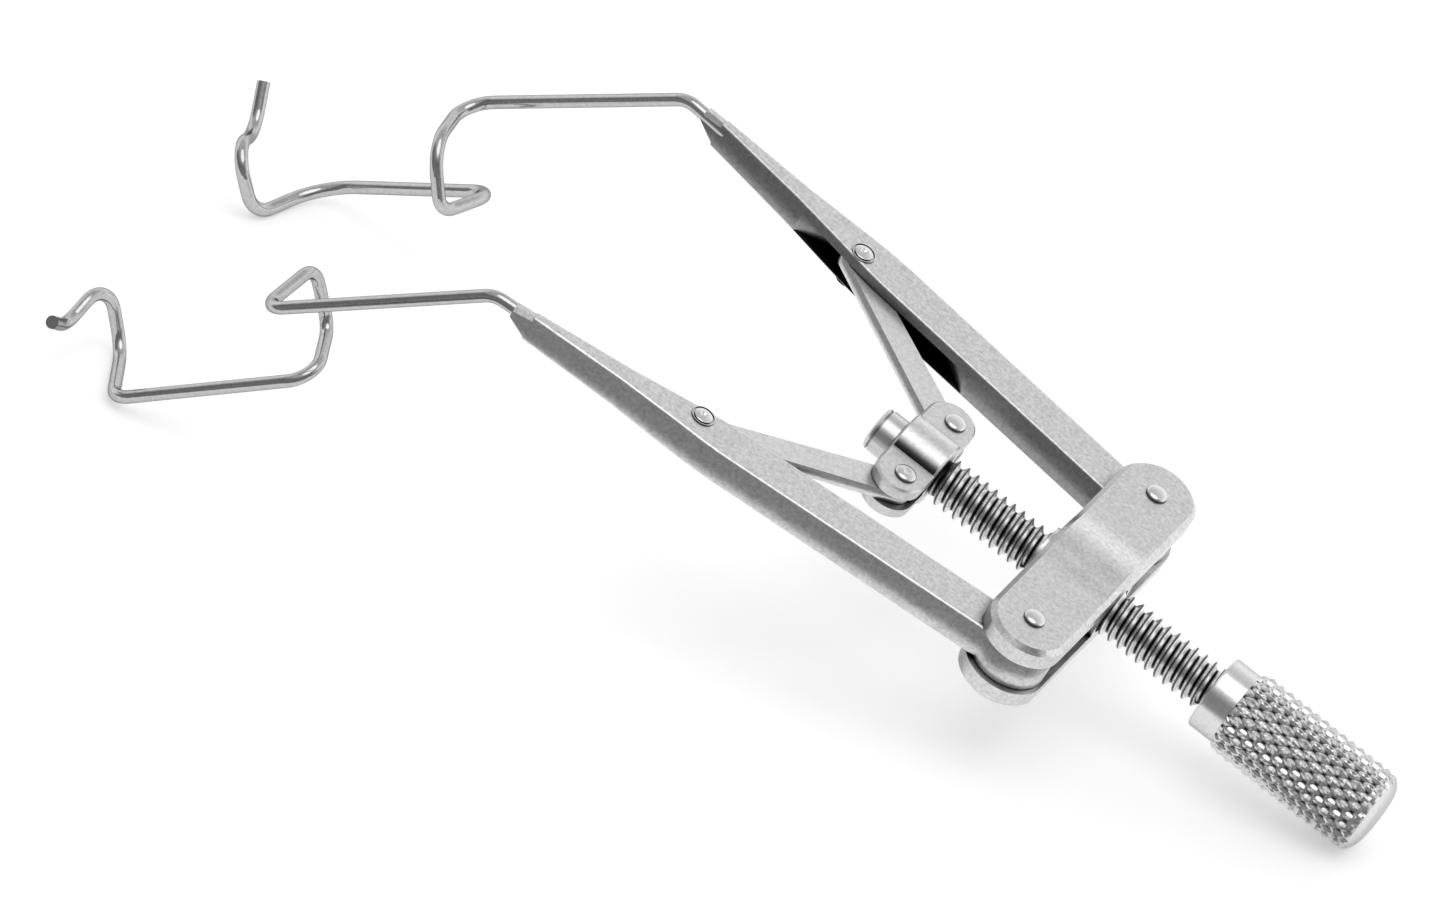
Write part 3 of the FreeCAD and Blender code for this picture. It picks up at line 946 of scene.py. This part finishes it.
def floor_material():
    """Pale and matt. It glows a little to the camera and in reflections, which lights nothing else."""
    material = bpy.data.materials.new("pale_floor")
    material.use_nodes = True
    tree = material.node_tree
    shader = tree.nodes["Principled BSDF"]
    coords = add(tree.nodes, "ShaderNodeTexCoord").outputs["Object"]
    grain = noise(tree, coords, **FLOOR_GRAIN)
    tone = ramp(tree, grain, *FLOOR_GRAIN_BAND, *FLOOR_TONES)
    colour = add(tree.nodes, "ShaderNodeCombineColor")
    for socket in colour.inputs[:3]:
        tree.links.new(tone, socket)
    tree.links.new(colour.outputs[0], shader.inputs["Base Color"])
    shader.inputs["Roughness"].default_value = FLOOR_ROUGHNESS
    shader.inputs["Specular IOR Level"].default_value = FLOOR_SPECULAR
    path = add(tree.nodes, "ShaderNodeLightPath")
    seen = math_node(tree, "MAXIMUM", path.outputs["Is Camera Ray"], path.outputs["Is Glossy Ray"])
    shader.inputs["Emission Color"].default_value = (1, 1, 1, 1)
    tree.links.new(multiply(tree, seen, FLOOR_GLOW), shader.inputs["Emission Strength"])
    return material


def card_material():
    """Dark before the object, nearer to it beside the knob, clear elsewhere and soft at its edges."""
    material = bpy.data.materials.new("dim_card")
    material.use_nodes = True
    tree = material.node_tree
    tree.nodes.clear()
    out = add(tree.nodes, "ShaderNodeOutputMaterial")
    emission = add(tree.nodes, "ShaderNodeEmission")
    emission.inputs["Strength"].default_value = DIM_LEVEL
    clear = add(tree.nodes, "ShaderNodeBsdfTransparent")
    mix = add(tree.nodes, "ShaderNodeMixShader")
    coords = add(tree.nodes, "ShaderNodeTexCoord").outputs["Object"]
    depth = dot(tree, coords, Vector((0, 1, 0)))
    breadth = dot(tree, coords, Vector((1, 0, 0)))
    front = cad_centre.y - CARD_BEFORE * MM
    right = ORIGIN.x + CARD_BESIDE * MM
    near, far = (ORIGIN.y - distance * MM for distance in CARD_UNDER)
    before = ramp(tree, depth, front, front - CARD_FADE * MM, 0.0, 1.0)
    beside = ramp(tree, breadth, right, right + CARD_BESIDE_FADE * MM, 0.0, 1.0)
    under = ramp(tree, depth, near, far, 0.0, 1.0)
    covered = math_node(tree, "MAXIMUM", before, multiply(tree, beside, under))
    tree.links.new(covered, mix.inputs["Fac"])
    tree.links.new(clear.outputs[0], mix.inputs[1])
    tree.links.new(emission.outputs[0], mix.inputs[2])
    tree.links.new(mix.outputs[0], out.inputs["Surface"])
    return material


def studio_world():
    """White to the camera. Otherwise soft light, brighter low down, but dim low down before the object."""
    world = bpy.data.worlds.new("studio")
    world.use_nodes = True
    tree = world.node_tree
    shade = tree.nodes["Background"]
    out = tree.nodes["World Output"]
    toward = add(tree.nodes, "ShaderNodeTexCoord").outputs["Generated"]
    beyond = dot(tree, toward, Vector((0, 1, 0)))
    above = dot(tree, toward, Vector((0, 0, 1)))
    sky = ramp(tree, above, *SKY_HEIGHTS, SKY_LOW_LEVEL, SKY_HIGH_LEVEL)
    low_down = ramp(tree, above, *DIM_HEIGHTS, 0.0, 1.0)
    before = ramp(tree, beyond, *DIM_DEPTHS, 0.0, 1.0)
    dim = multiply(tree, low_down, before)
    keep = math_node(tree, "SUBTRACT", 1.0, multiply(tree, dim, 1 - DIM_LEVEL))
    tree.links.new(multiply(tree, sky, keep), shade.inputs["Strength"])
    shade.inputs["Color"].default_value = (1, 1, 1, 1)
    white = add(tree.nodes, "ShaderNodeBackground")
    white.inputs["Strength"].default_value = 1.0
    path = add(tree.nodes, "ShaderNodeLightPath")
    mix = add(tree.nodes, "ShaderNodeMixShader")
    tree.links.new(path.outputs["Is Camera Ray"], mix.inputs["Fac"])
    tree.links.new(shade.outputs[0], mix.inputs[1])
    tree.links.new(white.outputs[0], mix.inputs[2])
    tree.links.new(mix.outputs[0], out.inputs["Surface"])
    return world


scene = bpy.context.scene
scene.view_settings.view_transform = "Standard"

floor = plane("floor", FLOOR_SIZE, Vector((cad_centre.x, cad_centre.y, 0)))
floor.data.materials.append(floor_material())

lamp("key", cad_centre + KEY_TOWARD.normalized() * KEY_DISTANCE, cad_centre, KEY_SIZE, KEY_POWER)
scene.world = studio_world()

card = plane("dim_card", CARD_SIZE, Vector((cad_centre.x, cad_centre.y, CARD_HEIGHT * MM)))
card.data.materials.append(card_material())
card.visible_camera = False
card.visible_shadow = False
card.visible_diffuse = False

# Camera, parallel to the photo's line of sight

right = VIEW_RIGHT.normalized()
down = (VIEW_DOWN - right * VIEW_DOWN.dot(right)).normalized()
away = right.cross(down)
across = (PHOTO_SIZE[0] / 2 - ORIGIN_PIXEL[0]) / PIXELS_PER_MM
lower = (PHOTO_SIZE[1] / 2 - ORIGIN_PIXEL[1]) / PIXELS_PER_MM
eye = right * across + down * lower - away * CAMERA_DISTANCE
camera_data = bpy.data.cameras.new("camera")
camera_data.type = "ORTHO"
camera_data.ortho_scale = PHOTO_SIZE[0] / PIXELS_PER_MM * MM
camera_data.clip_start, camera_data.clip_end = CLIP_RANGE
camera = bpy.data.objects.new("camera", camera_data)
scene.collection.objects.link(camera)
camera.location = PLACE @ eye
camera.rotation_mode = "QUATERNION"
camera.rotation_quaternion = (TURN @ Matrix((right, -down, -away)).transposed()).to_quaternion()
scene.camera = camera
